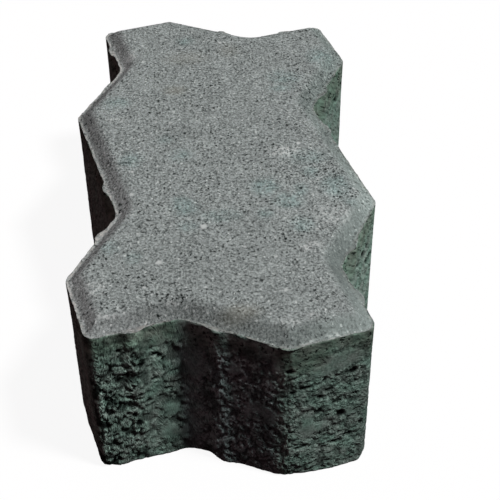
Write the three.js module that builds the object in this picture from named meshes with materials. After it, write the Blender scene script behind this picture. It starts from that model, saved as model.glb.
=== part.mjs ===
// Interlocking concrete paving stone, pressed as one block. Millimetres, +Z up.
//
// The stone covers a whole number of squares of the laying grid. Each side of each square is the
// same zigzag: in to a valley, out to a peak and back to the grid line. Turned half round about
// its middle the zigzag is itself again, so a stone laid beside another always meshes with it.
//
// Origin: centre of the underside. The long side runs along Y and the wearing face points up.

import * as THREE from 'three';

// Driving dimensions of the plan

const GRID = 112.5; // side of one square of the laying grid
const COUNT_WIDE = 1; // squares across X
const COUNT_LONG = 2; // squares along Y
const JOINT = 3; // sand joint left between the faces of two neighbours
const VALLEY_RUN = 36.6; // along the grid line, from a grid corner to the valley
const ZIGZAG_DEPTH = 9.8; // valley in from the grid line, and peak out from it
const CORNER_RADIUS = 5;
const PEAK_RADIUS = 6;
const VALLEY_RADIUS = 9;

// Driving dimensions of the section

const HEIGHT = 80;
const LEDGE_WIDTH = 1.5; // flat rim that the pressing plate leaves round the bevel
const BEVEL_WIDTH = 5.5;
const BEVEL_DROP = 5;
const ARRIS_RADIUS = 5; // blend from the bevel into the wearing face
const LEAST_RADIUS = 1.2; // a peak or corner never gets sharper than this on its way in

// Driving dimensions of the spacer nibs, the upright ribs that keep the joint open

const NIB_CLEARANCE = 1.5; // of a nib's tip to the neighbour's face
const NIB_FOOT_WIDTH = 12;
const NIB_TIP_WIDTH = 2;
const NIB_FROM_CORNER = 20; // centre of the first nib, along its facet from the grid corner
const NIB_FROM_VALLEY = 14; // centre of the second nib, along its facet from the valley

// Fineness of the curves

const STEP_ANGLE = Math.PI / 24; // largest turn between two points of an arc
const FLANK_STEPS = 5; // steps up each flank of a nib

const FACE_INSET = JOINT / 2;
const NIB_OUT = JOINT - NIB_CLEARANCE;

const heading = (angle) => new THREE.Vector2(Math.cos(angle), Math.sin(angle));
const inward = (angle) => new THREE.Vector2(-Math.sin(angle), Math.cos(angle));

// The turns of the zigzag round the grid rectangle, anticlockwise. Each has the radius of its
// fillet and the nibs on the facet that follows it, run being a nib's distance along that facet.
function zigzag() {
  const turns = [];
  const sides = [COUNT_WIDE, COUNT_LONG, COUNT_WIDE, COUNT_LONG];
  const corner = new THREE.Vector2(-COUNT_WIDE, -COUNT_LONG).multiplyScalar(GRID / 2);
  sides.forEach((squares, side) => {
    const angle = (side * Math.PI) / 2;
    const at = (run, depth) => corner.clone()
      .addScaledVector(heading(angle), run)
      .addScaledVector(inward(angle), depth);
    for (let square = 0; square < squares; square += 1) {
      const start = square * GRID;
      const valley = at(start + VALLEY_RUN, ZIGZAG_DEPTH);
      const peak = at(start + GRID - VALLEY_RUN, -ZIGZAG_DEPTH);
      // between two squares of one side the facets line up, so only a real corner is a turn
      if (square === 0) {
        turns.push({ point: at(start, 0), radius: CORNER_RADIUS, nibs: [] });
      }
      turns.at(-1).nibs.push({ from: at(start, 0), to: valley, run: NIB_FROM_CORNER });
      turns.push({ point: valley, radius: VALLEY_RADIUS, nibs: [] });
      turns.at(-1).nibs.push({ from: valley, to: peak, run: NIB_FROM_VALLEY });
      turns.push({ point: peak, radius: PEAK_RADIUS, nibs: [] });
    }
    corner.copy(at(squares * GRID, 0));
  });
  return turns;
}

const turns = zigzag();

// Heading of the facet before each turn, and the bend from it to the next facet: left is positive.
turns.forEach((turn, i) => {
  const before = turns.at(i - 1).point;
  const after = turns[(i + 1) % turns.length].point;
  turn.arriving = turn.point.clone().sub(before).angle();
  const bend = after.clone().sub(turn.point).angle() - turn.arriving;
  turn.bend = bend - 2 * Math.PI * Math.round(bend / (2 * Math.PI));
});

// Fillet at a turn of the outline that lies inset from the grid zigzag.
function fillet({ point, radius, arriving, bend }, inset) {
  const left = Math.sign(bend);
  const bisector = inward(arriving).add(inward(arriving + bend));
  const sharp = point.clone().addScaledVector(bisector, inset / (1 + Math.cos(bend)));
  // inside a bulge an inset outline turns tighter, inside a hollow it turns wider
  const rounded = Math.max(radius - left * (inset - FACE_INSET), LEAST_RADIUS);
  const centre = sharp
    .addScaledVector(heading(arriving), -rounded * Math.tan(Math.abs(bend) / 2))
    .addScaledVector(inward(arriving), left * rounded);
  const steps = Math.ceil(Math.abs(bend) / STEP_ANGLE);
  return Array.from({ length: steps + 1 }, (_, i) => centre.clone()
    .addScaledVector(inward(arriving + (bend * i) / steps), -left * rounded));
}

// A nib stands out of the face with a flat tip and flanks that ease into it at both ends.
function nibPoints({ from, to, run }) {
  const along = to.clone().sub(from).normalize();
  const out = inward(along.angle()).negate();
  const foot = from.clone().addScaledVector(along, run).addScaledVector(out, -FACE_INSET);
  const flank = (NIB_FOOT_WIDTH - NIB_TIP_WIDTH) / 2;
  const climb = Array.from({ length: FLANK_STEPS + 1 }, (_, i) => {
    const share = i / FLANK_STEPS;
    const rise = NIB_OUT * THREE.MathUtils.smoothstep(share, 0, 1);
    return { x: flank * share - NIB_FOOT_WIDTH / 2, rise };
  });
  const descent = climb.map(({ x, rise }) => ({ x: -x, rise })).reverse();
  return [...climb, ...descent].map(({ x, rise }) => foot.clone()
    .addScaledVector(along, x)
    .addScaledVector(out, rise));
}

const plainOutline = (inset) => turns.flatMap((turn) => fillet(turn, inset));

const ribbedOutline = () => turns.flatMap((turn) => [
  ...fillet(turn, FACE_INSET),
  ...turn.nibs.flatMap(nibPoints),
]);

// Bevel and arris, as rings of one inset and height each, from the ledge up to the wearing face
function bevelSection() {
  const slope = Math.atan2(BEVEL_DROP, BEVEL_WIDTH);
  const ledgeInset = FACE_INSET + LEDGE_WIDTH;
  const blendInset = ledgeInset + BEVEL_WIDTH + ARRIS_RADIUS * Math.tan(slope / 2);
  const steps = Math.ceil(slope / STEP_ANGLE);
  const blend = Array.from({ length: steps + 1 }, (_, i) => {
    const tilt = slope * (1 - i / steps);
    return {
      inset: blendInset - ARRIS_RADIUS * Math.sin(tilt),
      height: HEIGHT - ARRIS_RADIUS * (1 - Math.cos(tilt)),
    };
  });
  return [{ inset: ledgeInset, height: HEIGHT - BEVEL_DROP }, ...blend];
}

// Triangles of the closed skin, each as three corners in anticlockwise order seen from outside

const skin = [];
const lift = (outline, height) => outline.map(({ x, y }) => new THREE.Vector3(x, y, height));

function addBand(lower, upper) {
  lower.forEach((_, i) => {
    const next = (i + 1) % lower.length;
    skin.push(lower[i], lower[next], upper[next]);
    skin.push(lower[i], upper[next], upper[i]);
  });
}

function addFlat(outline, holes, height, facesUp) {
  const corners = [outline, ...holes].flatMap((ring) => lift(ring, height));
  THREE.ShapeUtils.triangulateShape(outline, holes).forEach((face) => {
    const [a, b, c] = facesUp ? face : face.reverse();
    skin.push(corners[a], corners[b], corners[c]);
  });
}

const ledgeHeight = HEIGHT - BEVEL_DROP;
const ribbed = ribbedOutline();
const rings = bevelSection().map(({ inset, height }) => lift(plainOutline(inset), height));

addFlat(ribbed, [], 0, false);
addBand(lift(ribbed, 0), lift(ribbed, ledgeHeight));
addFlat(ribbed, [rings[0]], ledgeHeight, true);
rings.slice(1).forEach((ring, i) => addBand(rings[i], ring));
addFlat(rings.at(-1), [], HEIGHT, true);

const concrete = new THREE.MeshStandardMaterial({ color: 0x7d817f, roughness: 0.95, metalness: 0 });
const stone = new THREE.Mesh(new THREE.BufferGeometry().setFromPoints(skin), concrete);
stone.geometry.computeVertexNormals();
stone.name = 'paving_stone';

const group = new THREE.Group();
group.add(stone);

export default group;
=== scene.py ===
# %% [markdown]
# # An interlocking concrete paving stone
#
# The real stone is pressed in a steel mould from two mixes: a damp, coarse core mix and, on top of
# it, a thin layer of fine face mix. The mould leaves zigzag sides with upright spacer nibs, and the
# pressing plate leaves a bevel with a narrow ledge round the wearing face.
#
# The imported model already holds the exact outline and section, but its faces are smooth. This
# lesson loads it as a fixed frame, then makes one closed mesh that follows the same outline and
# carries the relief of the two mixes, and gives it a concrete material made of nodes.

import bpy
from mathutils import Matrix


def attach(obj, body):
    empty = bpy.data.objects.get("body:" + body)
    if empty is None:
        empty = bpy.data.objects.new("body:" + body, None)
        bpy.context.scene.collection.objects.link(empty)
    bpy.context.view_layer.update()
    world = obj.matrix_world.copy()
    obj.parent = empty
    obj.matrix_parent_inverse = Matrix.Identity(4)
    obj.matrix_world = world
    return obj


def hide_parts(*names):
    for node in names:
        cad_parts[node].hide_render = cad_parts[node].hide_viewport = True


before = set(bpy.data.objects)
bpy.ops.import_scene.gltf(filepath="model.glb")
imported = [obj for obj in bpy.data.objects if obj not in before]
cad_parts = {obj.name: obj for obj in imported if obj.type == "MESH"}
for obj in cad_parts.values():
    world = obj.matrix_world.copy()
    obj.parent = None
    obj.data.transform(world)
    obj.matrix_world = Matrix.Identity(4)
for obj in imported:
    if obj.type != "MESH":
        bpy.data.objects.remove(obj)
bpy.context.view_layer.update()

# %% What the lesson is made with
from itertools import product
from math import atan2, ceil, cos, pi, radians, sin, tan

import bpy
import numpy as np
from mathutils import Matrix, Vector
from mathutils.geometry import delaunay_2d_cdt

MM = 0.001
scene = bpy.context.scene
print("Blender", bpy.app.version_string)

# %% [markdown]
# ## The camera
#
# The stone is seen from above one of its short ends. A camera is a place, three axes and a lens.
# It could be aimed with a Track To constraint, but a constraint has no roll, so the axes are worked
# out here: back points from the stone to the camera, right is level, and both turn by the roll.

# %% The camera
VIEW_AZIMUTH = radians(-3.262)
VIEW_ELEVATION = radians(40.504)
VIEW_ROLL = radians(-0.615)
VIEW_DISTANCE = 542.03 * MM
VIEW_TARGET = Vector((11.58, -22.108, 40)) * MM
FOCAL_LENGTH = 2.42656  # in picture widths
SENSOR_WIDTH = 36

flat = cos(VIEW_ELEVATION)
back = Vector((sin(VIEW_AZIMUTH) * flat, -cos(VIEW_AZIMUTH) * flat, sin(VIEW_ELEVATION)))
level = Vector((0, 0, 1)).cross(back).normalized()
upward = back.cross(level)
right = cos(VIEW_ROLL) * level + sin(VIEW_ROLL) * upward
up = cos(VIEW_ROLL) * upward - sin(VIEW_ROLL) * level

camera = bpy.data.objects.new("camera", bpy.data.cameras.new("camera"))
camera.data.sensor_width = SENSOR_WIDTH
camera.data.lens = FOCAL_LENGTH * SENSOR_WIDTH
camera.data.clip_start = 0.01
camera.matrix_world = Matrix.Translation(VIEW_TARGET + VIEW_DISTANCE * back) @ Matrix(
    (right, up, back)).transposed().to_4x4()
scene.collection.objects.link(camera)
scene.camera = camera
print("lens in mm:", round(camera.data.lens, 2))

# %% [markdown]
# ## Nodes and colours
#
# Every finish below is a tree of nodes. One function adds a node, sets its properties and fills its
# sockets, with a value, a colour or the output of an earlier node. Another turns a colour as a
# painter would write it, in sRGB, into the linear numbers that the renderer counts in.

# %% Helpers for materials
def linear(colour):
    """An sRGB hex colour as linear red, green, blue and alpha: below 0.04045 a share is divided
    by 12.92, and above it (share + 0.055) / 1.055 is raised to the power of 2.4."""
    share = np.array([int(colour[i:i + 2], 16) for i in (1, 3, 5)]) / 255
    light = np.where(share <= 0.04045, share / 12.92, ((share + 0.055) / 1.055) ** 2.4)
    return (*light.tolist(), 1.0)


def place(tree, kind, sockets, **settings):
    """Adds a node of this kind and sets its own properties. sockets maps a socket's name or
    number to a value, to a hex colour, to an output, or to a node whose first output in use
    feeds it."""
    node = tree.nodes.new("ShaderNode" + kind)
    for name, value in settings.items():
        setattr(node, name, value)
    used = {socket.name: socket for socket in reversed(node.inputs) if socket.enabled}
    for name, value in sockets.items():
        socket = node.inputs[name] if isinstance(name, int) else used[name]
        if isinstance(value, bpy.types.Node):
            value = next(output for output in value.outputs if output.enabled)
        if isinstance(value, bpy.types.NodeSocket):
            tree.links.new(value, socket)
        else:
            socket.default_value = linear(value) if isinstance(value, str) else value
    return node


def empty_tree(owner):
    """The node tree of a material or world, with its first nodes cleared away."""
    owner.use_nodes = True
    owner.node_tree.nodes.clear()
    return owner.node_tree


print("half grey, #808080, is", round(linear("#808080")[0], 3), "in linear light")

# %% [markdown]
# ## Light
#
# Low light from the side makes rough concrete readable, because each grain throws a small shadow.
# The key lamp stands to the near right, and its light runs along the facets that it misses, so
# that only the grains on them catch it. A wide weak lamp overhead softens the bevels. A very weak
# warm lamp from the left and a weak one from behind keep the shaded sides readable. Sun lamps with
# wide discs give the same level everywhere and the soft edge of a studio lamp. The levels add up
# to about 1, at which a level face shows its colour as written.

# %% The lamps
# In degrees: turn about Z counted from +X, height above the floor, and width of the disc. Then the
# level and the colour
LAMPS = {
    "key_lamp": (-25, 60, 9, 0.84, "#ffffff"),
    "overhead_lamp": (0, 89, 60, 0.12, "#ffe6ef"),
    "left_lamp": (195, 20, 30, 0.006, "#ff7f84"),
    "back_lamp": (102, 20, 10, 0.02, "#ffffff"),
}


def add_lamp(name, turn, height, disc, level, colour):
    """Adds a Sun lamp that gives a level face the share level of full light. Its strength is pi
    times the level over the sine of its height."""
    turn, height = radians(turn), radians(height)
    light = bpy.data.lights.new(name, "SUN")
    light.angle = radians(disc)
    light.energy = level * pi / sin(height)
    light.color = linear(colour)[:3]
    lamp = bpy.data.objects.new(name, light)
    towards = Vector((cos(turn) * cos(height), sin(turn) * cos(height), sin(height)))
    lamp.rotation_mode = "QUATERNION"
    lamp.rotation_quaternion = towards.to_track_quat("Z", "Y")
    lamp.location = towards
    scene.collection.objects.link(lamp)


for name, setting in LAMPS.items():
    add_lamp(name, *setting)
print("light on a level face:", round(sum(setting[3] for setting in LAMPS.values()), 3))

# %% [markdown]
# ## Backdrop and floor
#
# The backdrop is plain white to the camera, and gives the stone itself only a weak fill, so
# that its shaded sides stay as dark as they are in side light. The Light Path node tells
# the two apart. The floor does the same, and a share of it is a plain matt sheet,
# so that the stone's shadow still lies on it.

# %% The backdrop
WHITE = "#ffffff"
FILL_LEVEL = 0.043
FILL_COLOUR = "#ffb6ca"


def seen(tree):
    """1 for a ray that shows the surface, from the camera, a mirror or glass, and 0 for a ray
    that only gathers light."""
    path = place(tree, "LightPath", {})
    mirrored = place(tree, "Math", {0: path.outputs["Is Camera Ray"],
                                    1: path.outputs["Is Glossy Ray"]}, operation="MAXIMUM")
    return place(tree, "Math", {0: mirrored, 1: path.outputs["Is Transmission Ray"]},
                 operation="MAXIMUM")


scene.world = bpy.data.worlds.new("studio_backdrop")
tree = empty_tree(scene.world)
fill = place(tree, "Background", {"Color": FILL_COLOUR, "Strength": FILL_LEVEL})
white = place(tree, "Background", {"Color": WHITE, "Strength": 1})
chosen = place(tree, "MixShader", {0: seen(tree), 1: fill, 2: white})
place(tree, "OutputWorld", {"Surface": chosen})
print("fill:", FILL_LEVEL, "of full light")

# %% The floor
FLOOR_SIDE = 12
FLOOR_GLOW = 0.92  # share of the floor's white that no shadow takes away
FLOOR_DIM = "#332f30"  # what the stone's sides get back from the floor

half = FLOOR_SIDE / 2
floor_mesh = bpy.data.meshes.new("studio_floor")
floor_mesh.from_pydata([(-half, -half, 0), (half, -half, 0), (half, half, 0), (-half, half, 0)],
                       [], [(0, 1, 2, 3)])
paper = bpy.data.materials.new("matt_paper_floor")
tree = empty_tree(paper)
sheet = place(tree, "BsdfDiffuse", {"Color": WHITE})
glow = place(tree, "Emission", {"Color": WHITE, "Strength": 1})
shown = place(tree, "MixShader", {0: FLOOR_GLOW, 1: sheet, 2: glow})
dim = place(tree, "BsdfDiffuse", {"Color": FLOOR_DIM})
chosen = place(tree, "MixShader", {0: seen(tree), 1: dim, 2: shown})
place(tree, "OutputMaterial", {"Surface": chosen})
floor_mesh.materials.append(paper)
floor = bpy.data.objects.new("studio_floor", floor_mesh)
scene.collection.objects.link(floor)
print("floor:", FLOOR_SIDE, "m square, with", round(1 - FLOOR_GLOW, 2), "of it taking shadow")

# %% [markdown]
# ## The outline
#
# The stone covers one square by two of a laying grid. Each side of each square is the same
# zigzag, in to a valley and out to a peak, so neighbours mesh. Drawing it by hand would
# need a list of points. Here the turns of the zigzag are worked out from the grid,
# and each is rounded by an arc, so any outline that lies further in is found by the same formula.

# %% Sizes of the plan, in millimetres
GRID = 112.5
SQUARES = (1, 2, 1, 2)  # squares along each side, anticlockwise from the near one
GRID_CORNERS = GRID / 2 * np.array([(-1, -2), (1, -2), (1, 2), (-1, 2)])  # where the sides start
FACE_INSET = 1.5  # half of the sand joint
VALLEY_RUN = 36.6  # of a valley, along the grid line from a grid corner
ZIGZAG_DEPTH = 9.8  # of a valley in from the grid line, and of a peak out from it
CORNER_RADIUS, PEAK_RADIUS, VALLEY_RADIUS = 5, 6, 9
LEAST_RADIUS = 1.2  # a peak or corner never gets sharper than this on its way in


def heading(angle):
    """Unit vectors along these angles."""
    return np.stack([np.cos(angle), np.sin(angle)], -1)


def leftward(angle):
    """Unit vectors a quarter turn to the left of these angles, which is into the stone."""
    return np.stack([-np.sin(angle), np.cos(angle)], -1)


def side_places(side, runs, depths):
    """Points on one side of the grid rectangle: run along it from its first corner, and depth
    into the stone."""
    turn = side * pi / 2
    return (GRID_CORNERS[side] + np.asarray(runs, float)[:, None] * heading(turn)
            + np.asarray(depths, float)[:, None] * leftward(turn))


print("squares of the laying grid:", SQUARES[0], "by", SQUARES[1], "of", GRID, "mm")

# %% The turns of the zigzag
turn_points, turn_radii = [], []
for side, squares in enumerate(SQUARES):
    starts = np.arange(squares) * GRID
    runs = np.stack([starts + VALLEY_RUN, starts + GRID - VALLEY_RUN], 1).ravel()
    depths = np.tile([ZIGZAG_DEPTH, -ZIGZAG_DEPTH], squares)
    turn_points.append(side_places(side, [0, *runs], [0, *depths]))
    turn_radii += [CORNER_RADIUS] + [VALLEY_RADIUS, PEAK_RADIUS] * squares
turn_points = np.concatenate(turn_points)
turn_radii = np.array(turn_radii, float)
leaving = np.roll(turn_points, -1, 0) - turn_points
leaving_angle = np.arctan2(leaving[:, 1], leaving[:, 0])
arriving_angle = np.roll(leaving_angle, 1)
bend = (leaving_angle - arriving_angle + pi) % (2 * pi) - pi
print(len(turn_points), "turns, which bend by",
      sorted(set(np.degrees(bend).round(1).tolist())), "degrees")

# %% Points of any outline that runs inside the grid line
def arc_points(turn, share, inset):
    """Points on the rounding of a turn, share 0 to 1 along it. The sharp turn is moved in by
    the inset along its bisector, and the arc's centre is one radius inside both facets. Inside a
    bulge an inset arc is tighter, inside a hollow wider."""
    arrive, turned = arriving_angle[turn], bend[turn]
    side = np.sign(turned)
    bisector = leftward(arrive) + leftward(arrive + turned)
    sharp = turn_points[turn] + bisector * (inset / (1 + np.cos(turned)))[..., None]
    radius = np.maximum(turn_radii[turn] - side * (inset - FACE_INSET), LEAST_RADIUS)
    centre = (sharp - heading(arrive) * (radius * np.tan(np.abs(turned) / 2))[..., None]
              + leftward(arrive) * (side * radius)[..., None])
    return centre - leftward(arrive + turned * share) * (side * radius)[..., None]


def outline(column, inset):
    """The outline at this inset, one point a column. A column stands on the arc of its turn, or
    at a share of the straight facet that follows it."""
    turn = column["turn"]
    start = arc_points(turn, column["arc_share"], inset)
    end = arc_points((turn + 1) % len(turn_points), 0, inset)
    return start + column["facet_share"][..., None] * (end - start)


print("the near left corner is rounded at", arc_points(0, 0.5, FACE_INSET).round(2), "mm")

# %% Columns, closer together on the near side, where the texture is most open
NEAR_STEP, FAR_STEP = 0.62, 1.06
NEAR_TURNS = 3  # turns of the near side, counted from its first corner
LEAST_ON_ARC = 4  # columns on the arc of a turn, however tight

column = {"turn": [], "arc_share": [], "facet_share": []}
for turn, radius in enumerate(turn_radii):
    step = NEAR_STEP if turn < NEAR_TURNS else FAR_STEP
    after = (turn + 1) % len(turn_points)
    facet = np.linalg.norm(arc_points(after, 0, FACE_INSET) - arc_points(turn, 1, FACE_INSET))
    on_arc = max(LEAST_ON_ARC, ceil(abs(bend[turn]) * radius / step))
    on_facet = ceil(facet / step)
    column["turn"].append(np.full(on_arc + on_facet, turn))
    column["arc_share"].append(np.append(np.arange(on_arc) / on_arc, np.ones(on_facet)))
    column["facet_share"].append(np.append(np.zeros(on_arc), np.arange(on_facet) / on_facet))
column = {name: np.concatenate(parts) for name, parts in column.items()}
outward = -leftward(arriving_angle[column["turn"]] + bend[column["turn"]] * column["arc_share"])
face_line = outline(column, FACE_INSET)
steps = np.linalg.norm(np.roll(face_line, -1, 0) - face_line, axis=1)
print(len(steps), "columns,", steps.min().round(2), "to", steps.max().round(2), "mm apart")

# %% [markdown]
# ## The spacer nibs
#
# A nib is an upright rib that keeps the sand joint open. Twelve of the sixteen facets carry one:
# each but the last of a side. It is a low hump on the outline, so it is a rise that depends only
# on how far a column is from the nib's middle: a smooth step up, a flat tip and a smooth step
# down. A nib whose foot rubbed off in the mould keeps only a share of its rise at the bed.

# %% How far the nibs stand out, for each column
NIB_OUT = 1.5
NIB_FOOT_WIDTH = 12
NIB_TIP_WIDTH = 2
NIB_FROM_CORNER, NIB_FROM_VALLEY = 20, 14  # to a nib's middle, along its facet
NIB_WORN_BELOW, NIB_WHOLE_ABOVE = 5, 66  # heights between which a worn nib comes to its rise

# Share of each nib's rise that is left at the bed and at the ledge
NIB_LOW = np.array([0.4, 0.9, 0.8, 0.9, 0.7, 0.9, 0.8, 0.9, 0.7, 0.3, 0.9, 0.7])
NIB_HIGH = np.array([1, 0.9, 1, 1, 1, 1, 1, 1, 1, 0.3, 1, 1])


def smooth_step(low, high, value):
    """0 below low, 1 above high, and between them the cubic 3t squared - 2t cubed."""
    t = np.clip((value - low) / (high - low), 0, 1)
    return t * t * (3 - 2 * t)


nib_middles = []
for side, squares in enumerate(SQUARES):
    for start in np.arange(squares) * GRID:
        ends = side_places(side, start + np.array([0, VALLEY_RUN, GRID - VALLEY_RUN]),
                           [0, ZIGZAG_DEPTH, -ZIGZAG_DEPTH])
        along = np.diff(ends, axis=0)
        along /= np.linalg.norm(along, axis=1)[:, None]
        runs = np.array([NIB_FROM_CORNER, NIB_FROM_VALLEY])
        nib_middles.append(ends[:2] + along * runs[:, None])
nib_middles = np.concatenate(nib_middles)

apart = np.linalg.norm(face_line[:, None] - nib_middles, axis=2)
along_face = np.sqrt(np.maximum(apart ** 2 - FACE_INSET ** 2, 0))
nib_each = NIB_OUT * (1 - smooth_step(NIB_TIP_WIDTH / 2, NIB_FOOT_WIDTH / 2, along_face))
nib_top, nib_foot = (nib_each * NIB_HIGH).max(1), (nib_each * NIB_LOW).max(1)
print(len(nib_middles), "nibs, tallest", nib_top.max().round(2), "mm")

# %% [markdown]
# ## The section
#
# The section is a profile: it climbs the side, turns in over the ledge, up the bevel and round the
# blend into the wearing face. Carried along the outline it gives a grid of points, one row for
# each place on the profile. A bevel modifier couldn't do this, because the outline must keep
# its exact shape while it shrinks. Rows stand close together on both sides of the ledge's outer
# edge, so that smooth shading doesn't round it.

# %% Rows of the section, from the bed up to the wearing face
HEIGHT = 80
LEDGE_WIDTH = 1.5
BEVEL_WIDTH, BEVEL_DROP = 5.5, 5
ARRIS_RADIUS = 5
SIDE_STEP = 0.76  # between rows on the side
EDGE_GUARD = 0.3  # how far below the ledge the side's last row but one stands
LEDGE_SHARES = np.array([0.25, 0.7, 1.0])  # where its rows lie across its width
BEVEL_ROWS, ARRIS_ROWS = 4, 4

ledge_height = HEIGHT - BEVEL_DROP
slope = atan2(BEVEL_DROP, BEVEL_WIDTH)
side_heights = np.append(
    np.linspace(0, ledge_height - EDGE_GUARD, ceil(ledge_height / SIDE_STEP) + 1), ledge_height)
side_rows, ledge_rows = len(side_heights), len(LEDGE_SHARES)
ledge_inset = FACE_INSET + LEDGE_WIDTH
cap_inset = ledge_inset + BEVEL_WIDTH + ARRIS_RADIUS * tan(slope / 2)
tilt = slope * (1 - np.arange(ARRIS_ROWS + 1) / ARRIS_ROWS)
blend_inset = cap_inset - ARRIS_RADIUS * np.sin(tilt)
blend_height = HEIGHT - ARRIS_RADIUS * (1 - np.cos(tilt))
bevel_share = np.arange(1, BEVEL_ROWS) / BEVEL_ROWS

row_inset = np.concatenate([
    np.full(side_rows, FACE_INSET), FACE_INSET + LEDGE_WIDTH * LEDGE_SHARES,
    ledge_inset + (blend_inset[0] - ledge_inset) * bevel_share, blend_inset])
row_height = np.concatenate([
    side_heights, np.full(ledge_rows, ledge_height),
    ledge_height + (blend_height[0] - ledge_height) * bevel_share, blend_height])
row_lean = np.concatenate([  # 0 where the skin faces sideways, a quarter turn where it faces up
    np.zeros(side_rows), np.full(ledge_rows, pi / 2),
    np.full(BEVEL_ROWS - 1, pi / 2 - slope), pi / 2 - tilt])
row_nib = np.concatenate([  # share of the nibs' rise, which ends across the ledge
    np.ones(side_rows), 1 - LEDGE_SHARES, np.zeros(BEVEL_ROWS - 1 + len(tilt))])
print(len(row_inset), "rows of", len(steps), "columns")

# %% The smooth skin: every row of the section carried round the outline
plan = outline({name: values[None] for name, values in column.items()}, row_inset[:, None])
whole_nib = smooth_step(NIB_WORN_BELOW, NIB_WHOLE_ABOVE, row_height)[:, None]
nib_rise = nib_foot + whole_nib * (nib_top - nib_foot)
plan = plan + outward * (row_nib[:, None] * nib_rise)[..., None]
skin = np.concatenate([plan, np.broadcast_to(row_height[:, None, None], plan.shape[:2] + (1,))],
                      -1)
facing = np.concatenate([outward * np.cos(row_lean)[:, None, None],
                         np.broadcast_to(np.sin(row_lean)[:, None, None],
                                         plan.shape[:2] + (1,))], -1)
reach = skin.max((0, 1)) - skin.min((0, 1))
print("smooth skin in mm:", reach.round(3))

# %% [markdown]
# ## Chance patterns
#
# Grains, gaps and hills in concrete are random, but they must come out the same each time. So a
# pattern starts from dice: a fixed number for each cell of a lattice. Hills blend the dice of the
# eight corners round a point. Grains put one stone at random in each cell and measure how far
# away the nearest is, and how much further away the next two are. On the seam between two stones
# the second is no further than the first, and where three meet the third isn't either.

# %% Dice, hills and packed grains
def dice(cell, seed):
    """A number from 0 to 1 for each cell: its three whole coordinates and the seed are multiplied
    by large odd numbers, and their bits are mixed."""
    x, y, z = (cell[..., i].astype(np.int64).astype(np.uint32) for i in range(3))
    mix = (x * np.uint32(73856093)) ^ (y * np.uint32(19349663)) ^ (z * np.uint32(83492791))
    mix = mix ^ np.uint32(seed * 2246822519 % 2 ** 32)
    for factor in (2654435761, 2246822519):
        mix = (mix ^ (mix >> np.uint32(15))) * np.uint32(factor)
    return (mix >> np.uint32(8)) / 2 ** 24


def hills(points, size, seed):
    """Smooth hills of that size, from -1 to 1: the dice of the eight lattice corners, blended by
    smooth steps across the cell."""
    cell = np.floor(points / size)
    part = smooth_step(0, 1, points / size - cell)
    total = 0
    for corner in product((0, 1), repeat=3):
        weight = np.prod(np.where(corner, part, 1 - part), -1)
        total = total + weight * dice(cell + corner, seed)
    return 2 * total - 1


def rugged(points, size, seed, layers=3):
    """Hills with smaller hills on them, each layer half the size and height of the last."""
    parts = [hills(points, size / 2 ** i, seed + i) / 2 ** i for i in range(layers)]
    return sum(parts) / sum(0.5 ** i for i in range(layers))


def grains(points, size, seed):
    """Packed grains of that size: how far each point is from its nearest grain's middle, how much
    further the next one and the third are, all as shares of the size, and the nearest grain's
    own die."""
    cell = np.floor(points / size)
    near = np.full(points.shape[:-1], np.inf)
    second, third = near.copy(), near.copy()
    own = np.zeros_like(near)
    for offset in product((-1, 0, 1), repeat=3):
        other = cell + offset
        middle = np.stack([dice(other, seed + i) for i in range(3)], -1) + other
        gap = np.linalg.norm(points / size - middle, axis=-1)
        own = np.where(gap < near, dice(other, seed + 3), own)
        third = np.minimum(third, np.maximum(second, gap))
        second = np.minimum(second, np.maximum(near, gap))
        near = np.minimum(near, gap)
    return near, second - near, third - near, own


print("dice of two cells:", dice(np.array([(0, 0, 0), (1, 0, 0)]), seed=1).round(3))

# %% [markdown]
# ## How open the sides are
#
# The core mix is too dry to flow. Where it was pressed tight against the mould, or slid along it,
# cement has closed the surface. Elsewhere the lumps keep their shape and dark pits stay between
# them. The short sides are the most open. The long sides were dragged smooth, and a band under
# the ledge is finer, because there the mix was pressed hardest. Each of these is a share from 0
# to 1, and smooth steps lead from one to the other, because the damp mix has no sharp joints.

# %% Bands, dragged sides and smooth skins, in millimetres
# A pair is a ramp: the value at which something sets in, and the one at which it is complete
NEAR_SIDE, RIGHT_SIDE = -95, 40  # y below which and x above which a point is on that side
FINE_LINE, FINE_JOINT = 62, 7  # height of the fine band's lower end, and half the joint's width
FINE_WAVE, FINE_WAVE_LENGTH = 10, 13  # how far that end wanders, and over which length
DRAGGED_FROM_MIDDLE, DRAGGED_FROM_NEAR = (15, 35), (-111, -101)  # in x either way, and in y
SKIN_RIM, SKIN_RAG, SKIN_LOBE = (0.6, 1.15), 0.45, 4  # ramp, raggedness and size of its lobes
CHANCE_SKIN, CHANCE_SKIN_RIM = 9, (0.42, 0.55)  # size, and the ramp of the hills that are skins
CHANCE_SKIN_SQUASH = (1, 1, 0.8)  # chance skins are a little taller than wide

# Smooth skins on the near side: middle x and z, half width and half height
SMOOTH_SKINS = np.array([
    (41.0, 62.0, 8.0, 5.5), (33.5, 58.5, 5.5, 4.0), (28.0, 29.0, 3.0, 9.0), (31.5, 27.5, 5.0, 3.0),
    (44.6, 31.6, 2.2, 2.0), (-24.7, 26.0, 3.6, 5.0), (-27.0, 14.5, 5.5, 5.0),
    (-28.5, 66.5, 4.5, 4.0), (-14.5, 52.0, 4.0, 8.0), (16.8, 64.5, 4.0, 6.0)])


def within(rise, fall, value):
    """1 between two ramps and 0 outside them."""
    return smooth_step(*rise, value) * (1 - smooth_step(*fall, value))


def gaps(across, up, places):
    """How far each point is from the middle of each place, as a share of its half widths: 0 at
    the middle and 1 on the rim."""
    return np.hypot((across[..., None] - places[:, 0]) / places[:, 2],
                    (up[..., None] - places[:, 1]) / places[:, 3])


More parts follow.
